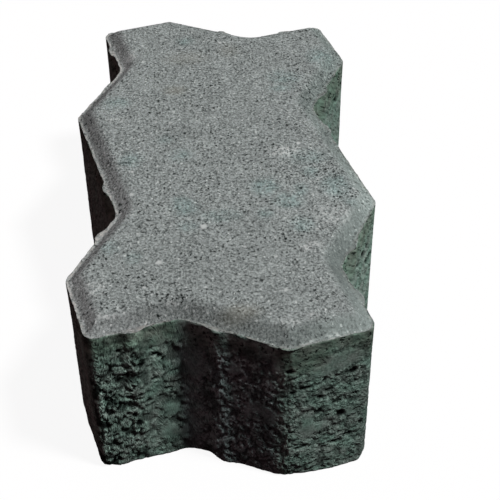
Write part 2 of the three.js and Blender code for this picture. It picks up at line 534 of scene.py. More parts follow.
def fine_share(points):
    """1 in the fine band below the ledge and 0 in the core mix, across a wavy joint."""
    joint = FINE_LINE + FINE_WAVE * rugged(points, FINE_WAVE_LENGTH, seed=11)
    return smooth_step(joint - FINE_JOINT, joint + FINE_JOINT, points[..., 2])


def dragged_share(points):
    """1 on the two long sides and round the far corners, fading out round the near ones."""
    return (smooth_step(*DRAGGED_FROM_MIDDLE, abs(points[..., 0]))
            * smooth_step(*DRAGGED_FROM_NEAR, points[..., 1]))


def closed_share(points):
    """1 on the smooth skins, named ones and chance ones, and 0 elsewhere."""
    gap = (gaps(points[..., 0], points[..., 2], SMOOTH_SKINS).min(-1)
           + SKIN_RAG * rugged(points, SKIN_LOBE, seed=23))
    named = (1 - smooth_step(*SKIN_RIM, gap)) * (points[..., 1] < NEAR_SIDE)
    hill = rugged(points * CHANCE_SKIN_SQUASH, CHANCE_SKIN, seed=29)
    return np.maximum(named, smooth_step(*CHANCE_SKIN_RIM, hill))


print(len(SMOOTH_SKINS), "smooth skins placed by hand")

# %% [markdown]
# ## The relief of the sides
#
# The mould flattened each lump, so its back is level with round shoulders, and stands at a height
# of its own. The seams between lumps gape in some places and are filled with cement in others,
# and a hole is left where three lumps meet. The lattice of the lumps is bent by chance first, so
# that no seam is straight. The larger pits that can be seen are listed one by one, and the rest
# come by chance. All relief goes inward from the mould's face, so the stone keeps its size.

# %% Pits between the lumps, in millimetres: middle across and up, half width and half height
PITS = np.array([  # on the near side, across is x
    (-43.3, 65.4, 1.3, 1.0), (-35.2, 56.1, 1.7, 1.3), (-41.0, 51.4, 1.5, 1.2),
    (-45.0, 48.8, 1.4, 0.8), (-29.7, 59.0, 1.6, 0.7), (-28.2, 57.6, 1.2, 0.8),
    (-27.0, 55.3, 0.8, 1.4), (-40.3, 38.8, 1.9, 0.7), (-37.2, 37.7, 1.9, 0.7),
    (-33.9, 34.7, 1.5, 0.8), (-44.8, 35.9, 0.9, 1.7), (-45.7, 33.9, 0.9, 1.6),
    (-52.7, 26.5, 2.2, 1.7), (-50.7, 25.2, 2.2, 1.4), (-38.2, 23.1, 1.6, 2.0),
    (-31.0, 46.0, 1.3, 0.7), (-29.1, 35.4, 1.2, 0.8), (-26.5, 39.0, 1.0, 0.8),
    (-51.6, 46.5, 1.3, 0.8), (-39.4, 28.5, 1.0, 1.5), (45.3, 54.6, 2.0, 1.5),
    (32.9, 44.1, 1.4, 1.1), (41.5, 31.9, 1.6, 2.0), (39.1, 39.3, 1.9, 0.7),
    (36.1, 47.3, 2.0, 0.9), (27.1, 51.5, 3.0, 0.7), (22.0, 49.5, 1.6, 0.9),
    (45.3, 18.4, 2.6, 0.8), (50.1, 24.0, 1.2, 1.2), (34.0, 23.3, 2.2, 0.7),
    (25.3, 17.6, 3.0, 1.0), (40.4, 15.9, 2.5, 0.9), (32.6, 36.3, 1.6, 1.6),
    (46.7, 42.0, 1.6, 0.7), (34.2, 53.3, 0.7, 1.3), (20.5, 61.7, 2.0, 1.0)])
RIGHT_PITS = np.array([  # on the long right side, across is y
    (-48.1, 56.5, 2.7, 1.8), (-40.1, 49.3, 2.5, 1.6), (-44.4, 58.1, 2.0, 1.3),
    (-43.7, 49.0, 2.3, 1.4), (-54.4, 55.9, 2.2, 1.3), (67.3, 58.4, 2.2, 1.3)])
SLANT = 0.87  # how far what was dragged drops for each millimetre of y
print(len(PITS), "pits on the near side and", len(RIGHT_PITS), "on the right placed by hand")

# %% How deep the relief of the sides goes, in millimetres
LUMP, SMALL_LUMP = 5.4, 2.6
BACK_SPREAD = 0.45  # between the highest and the lowest back
SHOULDER, SMALL_SHOULDER = 0.4, 0.22  # how far a lump's rim lies below its back
SHOULDER_REACH, SMALL_SHOULDER_REACH = 0.35, 0.5  # as shares of the lump's size
LUMP_BEND, LUMP_BEND_LENGTH = 0.9, 3  # how far chance bends their lattice, over which length
CHANCE_PIT, CHANCE_PIT_RIM = 2.3, (0.38, 0.54)  # size, and the ramp of the hills that are pits
PIT_RIM, PIT_LOBE = (0.7, 1.15), 1.8  # of a named pit: ramp in half widths, size of its lobes
PIT_RAG, RIGHT_PIT_RAG = 0.35, 0.2  # how ragged its rim is, on the near and on the right side
PIT_DEPTH = 1.1
CLOSED_DEPTH = 0.28  # of a smooth skin, level with the middle of the lumps' backs
LEVEL_WAVE, LEVEL_WAVE_LENGTH = 0.12, 9  # slow waves of the whole side
DRAG_CLOSES, FINE_CLOSES = 0.9, 0.55  # the share of the open texture that is lost there

# How much further the next lump is, as ramps in shares of its size: a seam gapes where the second
# is no further, and a hole opens where the third isn't
SEAM, HOLE, SMALL_HOLE = (0.03, 0.13), (0.15, 0.25), (0.11, 0.22)
GAPE_LENGTH, SEAM_GAPES = 6, (0.1, 0.4)  # seams gape only on hills of that length
HOLE_GAPES, SMALL_HOLE_GAPES = 0.25, 0.3  # how much wider the holes are on these hills

# How the short sides change along X, as ramps in x: the facet left of the valley is the most open,
# the valley the tightest, and the lumps beyond it are softer, with more pits up to the near peak
PAST_VALLEY, VALLEY = (-24, -16), ((-24, -19), (-16, -10))
SOFTER_FROM, PITTED = (-16, -6), ((-18, -12), (12, 20))
TIGHT, TIGHT_VALLEY, SOFT, MORE_PITS = 0.4, 0.3, 0.22, 0.25
ROUGH_LEFT, ROUGH_BELOW = 0.2, -20  # the small lumps' shoulders are deeper left of this x
NEAR_PEAK = 20  # its x
TALL, SQUAT = 0.78, 1.1  # what Z counts in the pattern, left and right of the near peak
print("lumps of", LUMP, "and", SMALL_LUMP, "mm, and pits", PIT_DEPTH, "mm deep")


# %% Shoulders and named pits
def squash(points):
    """What Z counts in the patterns: the lumps are flatter right of the near peak."""
    return np.where(points[..., 0] > NEAR_PEAK, SQUAT, TALL)


def shoulder(seam, reach):
    """1 on the seam between two lumps, falling with the square to 0 at this reach from it."""
    return np.clip(1 - seam / reach, 0, 1) ** 2


def named_pits(points):
    """1 in the pits placed by hand and 0 elsewhere. On the right side they lie on a slant, so
    they are looked up at the height where the slant through a point meets y = 0."""
    x, y, z = points[..., 0], points[..., 1], points[..., 2]
    ragged = rugged(points, PIT_LOBE, seed=83)
    slanted = RIGHT_PITS + RIGHT_PITS[:, :1] * (0, SLANT, 0, 0)
    near = gaps(x, z, PITS).min(-1) + PIT_RAG * ragged
    right = gaps(y, z + SLANT * y, slanted).min(-1) + RIGHT_PIT_RAG * ragged
    return np.maximum((1 - smooth_step(*PIT_RIM, near)) * (y < NEAR_SIDE),
                      (1 - smooth_step(*PIT_RIM, right)) * (x > RIGHT_SIDE))


print("half way to its reach, a shoulder has this share of its depth:", shoulder(0.5, 1))


# %% The depth of a place on the sides
def side_relief(points):
    """Depth below the mould's face, how far a place lies in a pit, how open it is, and the die of
    its lump. The depth is slow waves, plus the level of a smooth skin where the side is closed,
    plus the lumps' backs and shoulders where it is open, plus the pits."""
    x, y, z = points[..., 0], points[..., 1], points[..., 2]
    closed = np.maximum(closed_share(points), DRAG_CLOSES * dragged_share(points))
    tight = TIGHT * smooth_step(*PAST_VALLEY, x) + TIGHT_VALLEY * within(*VALLEY, x)
    softer = 1 - SOFT * smooth_step(*SOFTER_FROM, x)
    is_open = (1 - closed) * (1 - FINE_CLOSES * fine_share(points)) * (1 - tight)
    has_pits = is_open * (1 + MORE_PITS * within(*PITTED, x))

    wander = np.stack([rugged(points, LUMP_BEND_LENGTH, seed=31 + i) for i in range(3)], -1)
    bent = np.stack([x, y, z * squash(points)], -1) + LUMP_BEND * wander
    _, seam, corner, own = grains(bent, LUMP, seed=41)
    _, small_seam, small_corner, _ = grains(bent, SMALL_LUMP, seed=51)
    small_shoulder = SMALL_SHOULDER * (1 + ROUGH_LEFT * (x < ROUGH_BELOW))
    backs = (BACK_SPREAD * own + SHOULDER * shoulder(seam, SHOULDER_REACH)
             + small_shoulder * shoulder(small_seam, SMALL_SHOULDER_REACH))

    gaping = rugged(points, GAPE_LENGTH, seed=61)
    holes = 1 - np.minimum(smooth_step(*HOLE, corner - HOLE_GAPES * gaping),
                           smooth_step(*SMALL_HOLE, small_corner - SMALL_HOLE_GAPES * gaping))
    seams = smooth_step(*SEAM_GAPES, gaping) * (1 - smooth_step(*SEAM, seam))
    chance = smooth_step(*CHANCE_PIT_RIM, rugged(bent, CHANCE_PIT, seed=71, layers=2))
    chance = np.maximum(chance, np.maximum(holes, seams)) * has_pits * softer
    pit = np.maximum(named_pits(points), chance)
    waves = LEVEL_WAVE * (1 + rugged(points, LEVEL_WAVE_LENGTH, seed=81))
    depth = waves + CLOSED_DEPTH * (1 - is_open) + backs * is_open * softer + PIT_DEPTH * pit
    return depth, pit, is_open, own


print("depth at one place of the near side in mm:",
      side_relief(np.array([(-45.0, -118.0, 40.0)]))[0].round(2))

# %% [markdown]
# The lower edge is worn, because the damp stone dropped out of the mould onto a board. On the near
# side the wear is given as a list of places along X, and elsewhere it wanders by chance.

# %% Wear of the lower edge
WEAR_HEIGHT = 6.5
CHANCE_WEAR, CHANCE_WEAR_SPREAD, LEAST_WEAR = 0.9, 1.1, 0.1  # in millimetres, off the near side
CHANCE_WEAR_LENGTH = 11
NEAR_WEAR = np.array([  # x and how far the edge is worn in, in millimetres
    (-57.0, 1.0), (-54.5, 1.9), (-51.0, 2.1), (-48.0, 0.7), (-44.0, 0.7), (-40.6, 1.3),
    (-37.0, 1.6), (-33.5, 1.1), (-30.0, 0.45), (-24.0, 0.3), (-19.0, 1.0), (-15.6, 1.6),
    (-12.3, 1.9), (-9.0, 1.8), (-5.6, 0.8), (-2.3, 0.1), (1.0, 0.8), (4.4, 1.25), (8.0, 1.1),
    (14.4, 1.45), (17.8, 2.3), (21.2, 2.6), (24.7, 2.3), (28.2, 1.3), (31.8, 0.95), (35.4, 0.5),
    (39.0, 0.2), (42.5, 0.4), (48.0, 0.4), (50.0, 0.6), (52.4, 1.3), (56.0, 0.8)])


def edge_wear(points):
    """How far the lower edge is worn in, in millimetres: most at the bed, and falling with the
    square of the height to nothing at WEAR_HEIGHT."""
    low = np.clip(1 - points[..., 2] / WEAR_HEIGHT, 0, 1) ** 2
    near = np.interp(points[..., 0], NEAR_WEAR[:, 0], NEAR_WEAR[:, 1])
    hill = rugged(points * (1, 1, 0), CHANCE_WEAR_LENGTH, seed=101)
    chance = np.maximum(CHANCE_WEAR + CHANCE_WEAR_SPREAD * hill, LEAST_WEAR)
    return low * np.where(points[..., 1] < NEAR_SIDE, near, chance)


print("the near edge is worn in by up to", NEAR_WEAR[:, 1].max(), "mm")

# %% [markdown]
# ## The relief of the face mix
#
# The wearing face and the bevel were pressed under a steel plate. They are flat to a few tenths of
# a millimetre, with a fine sandy grain that is smaller than this mesh, so most of that grain
# is left to the material's bump. The mesh carries only the slow waves and a few pits.

# %% How deep the relief of the upper faces goes, in millimetres
FACE_PIT_SPACING, FACE_PIT_SHARE = 2.6, 0.12  # share of the cells that have a pit
FACE_PIT_RIM, FACE_PIT_DEPTH = (0.15, 0.42), 0.35
FACE_WAVE, FACE_WAVE_LENGTH = 0.12, 22
FACE_GRAIN, FACE_GRAIN_LENGTH = 0.08, 3.2


def face_relief(points):
    """Depth below the pressed face: slow waves, small pits and the grain of the sand."""
    near, _, _, own = grains(points, FACE_PIT_SPACING, seed=111)
    pit = (own < FACE_PIT_SHARE) * (1 - smooth_step(*FACE_PIT_RIM, near))
    wave = (FACE_WAVE * (1 + hills(points, FACE_WAVE_LENGTH, seed=121))
            + FACE_GRAIN * (1 + rugged(points, FACE_GRAIN_LENGTH, seed=131)))
    return wave + FACE_PIT_DEPTH * pit


print("waves of the upper faces up to", 2 * FACE_WAVE, "mm, and pits", FACE_PIT_DEPTH, "mm deep")

# %% [markdown]
# ## From depths to a skin
#
# Each point of the smooth skin moves inward by its depth. At the foot the relief is quieter, so
# that wear shapes the edge, and up to the ledge it fades, because the mix was pressed harder
# there. The corners were rubbed, the other peaks less, and the near peak is worn back. A bulge has
# little room behind it, so its relief stops before it would cross itself.

# %% The skin with its relief
FOOT_FADE, FOOT_SHARE = 2.5, 0.25  # height over which it fades, and what is left at the bed
LEDGE_FADE, LEDGE_SHARE = 14, 0.4  # the same below the ledge
CORNER_BEND = 1  # in radians; only the corners bend by more
CORNER_CALM, PEAK_CALM = 0.75, 0.3  # share of the relief that is rubbed off
CALM_RAMP = (0, 0.3)  # from the arc's ends, as a share of the arc
PEAK_WEAR, PEAK_REACH = 1.2, 9  # of the near peak, and how far from it
LIP_REACH = 8  # of the lip of crumbs at the near peak, on which the edge isn't worn
ROOM = 0.55  # the greatest depth at a bulge, as a share of its radius

upright = (np.arange(len(row_height)) < side_rows)[:, None] * np.ones(len(steps))
depth_side, pit, is_open, lump_die = side_relief(skin)
foot = FOOT_SHARE + (1 - FOOT_SHARE) * smooth_step(0, FOOT_FADE, skin[..., 2])
ledge_fade = smooth_step(ledge_height - LEDGE_FADE, ledge_height, skin[..., 2])
from_peak = np.linalg.norm(skin[..., :2] - turn_points[NEAR_TURNS - 1], axis=-1)
worn_peak = PEAK_WEAR * np.clip(1 - from_peak / PEAK_REACH, 0, 1) ** 2
bulges = (column["facet_share"] == 0) & (bend[column["turn"]] > 0)
calm = np.where(bend > CORNER_BEND, CORNER_CALM, PEAK_CALM)
calm[NEAR_TURNS - 1] = 0
from_arc_end = 0.5 - abs(column["arc_share"] - 0.5)
quiet_bulge = 1 - calm[column["turn"]] * bulges * smooth_step(*CALM_RAMP, from_arc_end)
depth = (depth_side * quiet_bulge + worn_peak) * foot * (1 - (1 - LEDGE_SHARE) * ledge_fade)
depth = upright * (depth + edge_wear(skin)) + (1 - upright) * face_relief(skin)
lip = np.clip(1 - from_peak[side_rows - 1] / LIP_REACH, 0, 1)
depth[side_rows - 1] *= 1 - lip
room = np.where(bulges, ROOM * turn_radii[column["turn"]], np.inf)
relief = skin - facing * np.minimum(depth, room)[..., None]
print("side relief in mm: mean", depth_side.mean().round(2), "most", depth_side.max().round(2),
      "pits over", round(100 * float((pit[:side_rows] > 0.5).mean()), 1), "percent")

# %% [markdown]
# The ledge is hardly wider than a grain, so it broke into crumbs when the plate lifted. Its outer
# rows are bitten away, and they rise and fall by chance, most over the nibs, where the mix had
# the least to hold it. At the near peak a lip of crumbs hangs over the side.

# %% The crumbs of the ledge, in millimetres
CRUMB_SIZE, CRUMB_RISE = 1.8, 0.35
RISE_AT_NIB = 1.2  # what a nib adds to the rise, as a share of it
BITE_SIZE, BITE_DEPTH = 2.8, 1.2
BITE_BEGINS, BITE_ENDS = -0.1, 0.6  # height of the hill above which a bite begins and ends
LIP_SHARES = np.array([1, 0.6, 0.15])  # of the lip's drop, from the ledge's outer edge inward
LIP_DROP = 2.2

on_edge = slice(side_rows - 1, side_rows + ledge_rows - 1)
bite_hills = rugged(skin[on_edge] * (1, 1, 0), BITE_SIZE, seed=143, layers=2)
bite = BITE_DEPTH * np.clip(bite_hills - BITE_BEGINS, 0, BITE_ENDS - BITE_BEGINS)
bite = bite * (1 - np.append(0, LEDGE_SHARES[:-1]))[:, None] * (1 - lip)
relief[on_edge, :, :2] -= outward * bite[..., None]
rise = CRUMB_RISE * (1 + RISE_AT_NIB * nib_top / NIB_OUT)
relief[on_edge, :, 2] += rise * rugged(skin[on_edge], CRUMB_SIZE, seed=141, layers=2)
relief[on_edge, :, 2] -= LIP_DROP * lip * LIP_SHARES[:, None]
relief[0, :, 2] = 0
print("crumbs up to", rise.max().round(2), "mm high, bites up to", bite.max().round(2), "mm deep")

# %% [markdown]
# ## The two flat faces
#
# The outline has valleys, so rows can't simply shrink to a point over the face. Instead an even
# lattice of points fills it, and a Delaunay triangulation joins the lattice to the last row of
# the skin. It picks triangles that are as even as they can be, and keeps the row's edges.

# %% Filling a ring with a lattice
ROW_SPACING = 0.866  # of a lattice of even triangles, as a share of its step
NEARLY_NOTHING = 1e-12  # keeps a level edge from dividing by zero
SAME_POINT = 1e-5  # closer than this, two points are one


def inside(points, ring):
    """True for points inside the closed ring: a line to the right crosses it an odd number of
    times."""
    x, y = points[:, :1], points[:, 1:]
    ax, ay = ring.T
    bx, by = np.roll(ring, -1, 0).T
    crossing = ax + (y - ay) * (bx - ax) / (by - ay + NEARLY_NOTHING)
    return (((ay > y) != (by > y)) & (x < crossing)).sum(1) % 2 == 1


def lattice_fill(ring, step, margin):
    """Lattice points inside the ring, at least margin away from it, and the triangles that join
    them and the ring, anticlockwise. Every other line of the lattice is shifted by half a step."""
    low, high = ring.min(0), ring.max(0)
    y = np.arange(low[1], high[1], step * ROW_SPACING)
    x = np.arange(low[0], high[0], step)
    mesh_x, mesh_y = np.meshgrid(x, y)
    mesh_x = mesh_x + (np.arange(len(y)) % 2 * step / 2)[:, None]
    points = np.stack([mesh_x.ravel(), mesh_y.ravel()], 1)
    points = points[inside(points, ring)]
    gap = np.linalg.norm(points[:, None] - ring[None], axis=2).min(1)
    points = points[gap > margin]
    count = len(ring)
    around = np.stack([np.arange(count), (np.arange(count) + 1) % count], 1)
    every = np.concatenate([ring, points])
    _, _, faces, origin, _, _ = delaunay_2d_cdt([Vector(p) for p in every.tolist()],
                                                around.tolist(), [], 1, SAME_POINT)
    source = np.array([o[0] for o in origin])
    faces = source[np.array(faces)]
    a, b, c = (every[faces[:, i]] for i in range(3))
    area = (b[:, 0] - a[:, 0]) * (c[:, 1] - a[:, 1]) - (b[:, 1] - a[:, 1]) * (c[:, 0] - a[:, 0])
    faces[area < 0] = faces[area < 0][:, ::-1]
    return points, faces


print("a lattice of step 1 has lines", ROW_SPACING, "apart")

# %% The wearing face and the bed
FACE_STEP, BED_STEP = 2.1, 3.2
FACE_MARGIN, BED_MARGIN = 0.9, 1.4  # least gap between the lattice and the ring

face_ring, bed_ring = relief[-1, :, :2], relief[0, :, :2]
face_points, face_faces = lattice_fill(face_ring, FACE_STEP, FACE_MARGIN)
bed_points, bed_faces = lattice_fill(bed_ring, BED_STEP, BED_MARGIN)
face_flat = np.c_[face_points, np.full(len(face_points), float(HEIGHT))]
face_bumpy = face_flat - (0, 0, 1) * face_relief(face_flat)[:, None]
bed_flat = np.c_[bed_points, np.zeros(len(bed_points))]
print(len(face_points), "points on the wearing face,", len(bed_points), "on the bed")

# %% [markdown]
# ## One closed mesh
#
# The skin and the two faces share their edge points, so the stone is one closed mesh. Blender takes
# it as a list of points and a list of faces.

# %% Points, faces and the mesh
rows, count = skin.shape[:2]
number = np.arange(rows * count).reshape(rows, count)
beside = np.roll(number, -1, 1)
quads = np.stack([number[:-1], beside[:-1], beside[1:], number[1:]], -1).reshape(-1, 4)
first_face, first_bed = rows * count, rows * count + len(face_points)
face_index = np.where(face_faces < count, face_faces + number[-1, 0],
                      face_faces - count + first_face)
bed_index = np.where(bed_faces < count, bed_faces, bed_faces - count + first_bed)[:, ::-1]

points = np.concatenate([relief.reshape(-1, 3), face_bumpy, bed_flat])
faces = quads.tolist() + face_index.tolist() + bed_index.tolist()
stone_mesh = bpy.data.meshes.new("paving_stone_skin")
stone_mesh.from_pydata((points * MM).tolist(), [], faces)
stone_mesh.shade_smooth()
print("triangles:", 2 * len(quads) + len(face_index) + len(bed_index))

# %% [markdown]
# ## What the mesh tells the material
#
# A texture made of nodes knows where a point is, but not what happened to it. So each point of the
# mesh carries numbers that the material reads: which mix it belongs to, how open and how pitted
# it is, where lime has bloomed and damp has stayed, and how much lighter or darker a place is,
# which on the near side and the bevel is partly painted light and shade.
# Marks that can be told apart are listed one by one. The strength of a bloom may be over 1, because
# the material breaks it into flecks.

# %% Marks, in millimetres: where the middle is, the two half widths and the strength
# On the wearing face and its bevel, by x and y
LIME_BLOOM = np.array([
    (44, -49, 13, 9, 0.6), (34, -67, 7, 3.5, 0.9), (31, -69.5, 4, 2, 1.0),
    (20.5, -110.8, 7, 2.0, 1.0), (29.5, -108.3, 3.5, 3, 0.9), (30.6, -119, 6, 1.6, 1.0),
    (-51, -87.5, 6, 6, 0.7), (-22.7, -96.3, 3.4, 1.6, 1.0), (-47.4, -101.6, 7, 1.6, 0.9),
    (-46.4, 26.2, 8, 2, 0.8), (-40, 82, 6, 5, 0.6), (28, -3, 10, 5, 1.4),
    (21.4, -92.7, 2.4, 2.0, 0.9), (28, -117.5, 5, 2.2, 1.8), (19.5, -120.5, 6, 3, 1.5),
    (39, -115, 7, 2.5, 1.6)])
STAINS = np.array([  # where the face is brownish
    (3, -104, 12, 6, 0.65), (-18.8, 48.9, 8, 6, 0.6), (-13, 77, 16, 9, 0.35),
    (8, 83, 8, 10, 0.3)])
TONES = np.array([  # lighter, or darker where the strength is negative
    (40, -38, 34, 32, 0.06), (-22, -90, 34, 26, -0.08), (-10, 92, 26, 18, -0.06),
    (-5, -70, 30, 20, -0.04), (45, 27, 6, 19, 0.25), (46.5, -86, 4, 9, 0.12),
    (54, -46, 7, 12, -0.16), (43, -76, 6, 11, 0.15), (47, -35, 6, 6, 0.1), (34, -65, 7, 6, -0.1),
    (46, -106, 9, 7, -0.1), (28, -111, 8, 5, -0.1), (39, -92, 5, 8, 0.06)])
COOL_PATCHES = np.array([  # where the face is bluish green
    (-46, 40, 9, 7, 0.7), (-39, -5, 7, 8, 0.8), (-17, -3, 7, 7, 0.7), (18, -28, 9, 9, 1.0),
    (27, -38, 9, 7, 1.0), (48, -29, 9, 12, 0.9), (-16, -40, 8, 8, 0.9), (-2, -46, 12, 6, 0.7),
    (31, -54, 7, 7, 0.8), (33, 56, 11, 9, 0.7), (52, 74, 9, 12, 0.8), (38, -8, 14, 8, 0.6),
    (-13, 93, 6, 6, 0.7), (38, -19, 5, 6, 0.8), (31, 47, 9, 3, 1.0),
    (-15, -52, 6, 5, 0.7), (16.6, -46, 5, 5, 0.7), (-37, -70, 5, 6, 0.6), (-47, -63, 6, 6, 0.7),
    (33, -31, 5, 6, 0.7), (52, -40, 5, 5, 0.6), (-24, 9, 5, 5, 0.5), (-18, -35, 5, 5, 0.6)])
GRITTY = np.array([  # where the sand stands out more, or less, than elsewhere
    (-42, -5, 14, 26, 0.4), (31, -12, 12, 26, 0.4), (39, -55, 9, 14, 0.35),
    (-17, -5, 9, 10, -0.25), (6, -18, 18, 18, -0.18), (14, -69, 15, 9, -0.35),
    (-1, -90, 22, 9, -0.35), (45, -18, 12, 12, 0.3), (-42, -72, 12, 12, -0.22),
    (22, -95, 14, 10, -0.25), (-27, -47, 9, 9, -0.22)])
# Many of these are painted light and shade rather than the side's own tone: the lit and the shaded
# flank of the left nib, the lit left corner, painted fill that lightens the valley and the facet
# out of the key lamp, the lit flank of that facet's nib, and the darker shaded foot of the near
# peak. The rest are the side's own tones.
SIDE_LIGHT_AND_TONES = np.array([  # the same as TONES on the near side, by x and z
    (-53, 42, 6, 26, 0.35), (-36.3, 72, 3.2, 9, 1.4), (-42, 71, 3.5, 7, -0.5),
    (-18.5, 57, 3, 9, 0.5), (-22.6, 12, 6, 6, -0.3), (5.5, 66, 9, 8, -0.25), (8.5, 40, 5, 4, -0.3),
    (16, 60, 2.5, 8, 0.5), (20, 25, 2, 12, 0.3), (-36.3, 28, 3, 28, 0.5), (-54, 22, 4, 20, 0.75),
    (-28, 26, 5, 22, -0.15), (-15, 26, 6, 28, 0.35), (13.5, 25, 6, 25, -0.3), (27, 68, 8, 8, -0.15),
    (52, 67, 8, 9, -0.25), (-7, 66, 6, 12, 0.2), (3, 40, 24, 60, 0.12), (46, 25, 5, 20, -0.12),
    (36.5, 25, 2.5, 25, 0.1), (40, 25, 3, 20, -0.1), (-44, 50, 15, 6, 0.2), (-6, 45, 4, 22, 0.2),
    (12, 52, 8, 14, 0.15), (-26, 8, 8, 9, -0.25)])
MARK_RIM = (0.2, 1)  # ramp on which a mark fades, as shares of its half widths

# For each turn of the outline: how much lighter the bevel is there, partly its own tone and
# partly painted light and shade for the way it faces the lamps, and how much smoother
BEVEL_LIGHT_AND_TONES = np.array([0.02, -0.22, -0.22, 0.26, -0.34, 0.44, -0.22, 0.05, 0.16, -0.1, -0.1,
                        0.0, 0.14, -0.18, 0.14, 0.2])
BEVEL_SMOOTH = np.array([0.15, 0, 0.25, 0.6, 0.6, 0.5, *np.zeros(10)])


def marks(across, up, places):
    """How strongly each point is marked: what the places give it in sum, each fading from its
    middle to its half widths."""
    return ((1 - smooth_step(*MARK_RIM, gaps(across, up, places))) * places[:, 4]).sum(-1)


print(len(LIME_BLOOM), "blooms,", len(STAINS), "stains,", len(COOL_PATCHES), "cool patches and",
      len(TONES) + len(SIDE_LIGHT_AND_TONES), "tones placed by hand")

# %% Which part of the stone a point belongs to
LEDGE_SLACK = 2  # the upper faces begin this far below the ledge, which takes in its crumbs
LEFT_OF_VALLEY, RIGHT_OF_PEAK = (-26, -20), (15, 30)  # ramps in x

row = np.arange(rows)
points_off_skin = len(face_points) + len(bed_points)


def on_skin(share):
    """A number for every point: the share on the skin's rows and columns, and 0 elsewhere."""
    return np.append((share * np.ones((rows, count))).ravel(), np.zeros(points_off_skin))


def at_turns(values):
    """A number for each column: the value of its turn, blended along the facet into the next."""
    turn, share = column["turn"], column["facet_share"]
    return values[turn] * (1 - share) + values[(turn + 1) % len(values)] * share


x, y, z = points.T
on_side = on_skin((row < side_rows - 1)[:, None])
on_bed = (np.arange(len(points)) >= first_bed).astype(float)
near_side = (y < NEAR_SIDE) & (on_side == 1)
right_side = (x > RIGHT_SIDE) & (on_side == 1) & ~near_side
upper_face = (z > ledge_height - LEDGE_SLACK) & (on_side == 0)
left_of_valley, right_of_peak = 1 - smooth_step(*LEFT_OF_VALLEY, x), smooth_step(*RIGHT_OF_PEAK, x)
on_ledge = (row >= side_rows - 1) & (row < side_rows + ledge_rows - 1)
last_bevel_row = side_rows + ledge_rows + BEVEL_ROWS - 2
on_bevel = np.clip((rows - 1 - row) / (rows - 1 - last_bevel_row), 0, 1) * (row >= side_rows)
print("points on the near side:", near_side.sum(), "and on the upper faces:", upper_face.sum())

# %% Numbers that the material reads
FINE_PINHOLES, DRAGGED_PINHOLES = 0.85, 0.5  # share of the narrow pits that show there
OPENER_LEFT, TIGHTER_RIGHT = 0.4, 0.25  # left of the near valley, right of the near peak
# The stretch between the near valley and the near peak is out of the key lamp, and its tint is
# painted light: the violet of the fill in its shade.
SHADED_STRETCH = ((-24, -18), (12, 20))  # ramps in x of the stretch of the near side that is less green
# Share of the pale crumbs that is missing on the right and near ledge, and its ramps in x and y
CLEAN_RIGHT, CLEAN_RIGHT_X, CLEAN_RIGHT_Y = 0.5, (0, 40), (-110, -100)
CLEAN_NEAR, CLEAN_NEAR_X, CLEAN_NEAR_Y = 0.4, (15, 25), (-112, -100)
LEFT_TONE = 0.15  # the near side is paler left of the valley
RIGHT_TONE = 0.25  # and so is the long right side
RIGHT_DIMS, DIMS_ALONG = 0.5, (0, 40)  # its far half has this share less, over a ramp in y
GRIT, LEAST_GRIT, MOST_GRIT = 1.07, 0.4, 1.5  # contrast of the sand, and its limits
MOST_BLOOM = 2  # strength at which blooms that overlap stop adding up

clean_right = CLEAN_RIGHT * (smooth_step(*CLEAN_RIGHT_X, skin[..., 0])
                             * smooth_step(*CLEAN_RIGHT_Y, skin[..., 1]))
clean_near = CLEAN_NEAR * (smooth_step(*CLEAN_NEAR_X, skin[..., 0])
                           * (1 - smooth_step(*CLEAN_NEAR_Y, skin[..., 1])))
# Painted light and shade on the near side, and its paler tone left of the valley
side_light_and_tone = (LEFT_TONE * left_of_valley + marks(x, z, SIDE_LIGHT_AND_TONES)) * near_side
right_tone = RIGHT_TONE * (1 - RIGHT_DIMS * smooth_step(*DIMS_ALONG, y)) * right_side

numbers = {
    # the mix: 1 on the sides and the bed, and 0 on the upper faces
    "side": on_side + on_bed,
    # how open the core mix is, and how many of its narrow pits show
    "open_texture": (on_skin(is_open * upright) + on_bed) * (
        1 - TIGHTER_RIGHT * right_of_peak + OPENER_LEFT * near_side * left_of_valley),
    "pinholes": on_skin(upright * np.maximum(is_open, np.maximum(
        FINE_PINHOLES * fine_share(skin), DRAGGED_PINHOLES * dragged_share(skin)))),
    # how far a point lies in a wide pit, which the material fills with painted shade, what Z
    # counts there, and its lump's own tone
    "pit": on_skin(pit * upright),
    "squash": squash(points),
    "lump_tone": on_skin((lump_die - 0.5) * is_open * upright),
    # the finer band, the dragged sides, and the stretch of the near side out of the key lamp,
    # which is painted in the violet of the fill light
    "fine": on_skin(fine_share(skin) * upright),
    "dragged": on_skin(dragged_share(skin) * upright),
    "shaded_stretch": near_side * within(*SHADED_STRETCH, x),
    # the ledge's pale crumbs, and the bevel
    "ledge": on_skin(on_ledge[:, None] * (1 - clean_right) * (1 - clean_near)),
    "bevel": on_skin(on_bevel[:, None]),
    # what was placed by hand on the upper faces
    "lime_bloom": np.clip(marks(x, y, LIME_BLOOM), 0, MOST_BLOOM) * upper_face,
    "stain": np.clip(marks(x, y, STAINS), 0, 1) * upper_face,
    "cool": np.clip(marks(x, y, COOL_PATCHES), 0, 1) * upper_face,
    # contrast of the sand, and what is added to the brightness: the stone's own tones, and on the
    # near side and the bevel also painted light and shade
    "gritty": np.clip(GRIT + marks(x, y, GRITTY)
                      - on_skin(on_bevel[:, None] * at_turns(BEVEL_SMOOTH)),
                      LEAST_GRIT, MOST_GRIT),
    "tone": (marks(x, y, TONES) * upper_face + side_light_and_tone + right_tone
             + on_skin(on_bevel[:, None] * at_turns(BEVEL_LIGHT_AND_TONES))),
}
for name, values in numbers.items():
    stone_mesh.attributes.new(name, "FLOAT", "POINT").data.foreach_set(
        "value", values.astype(np.float32))
    print(name, "mean", values.mean().round(3))

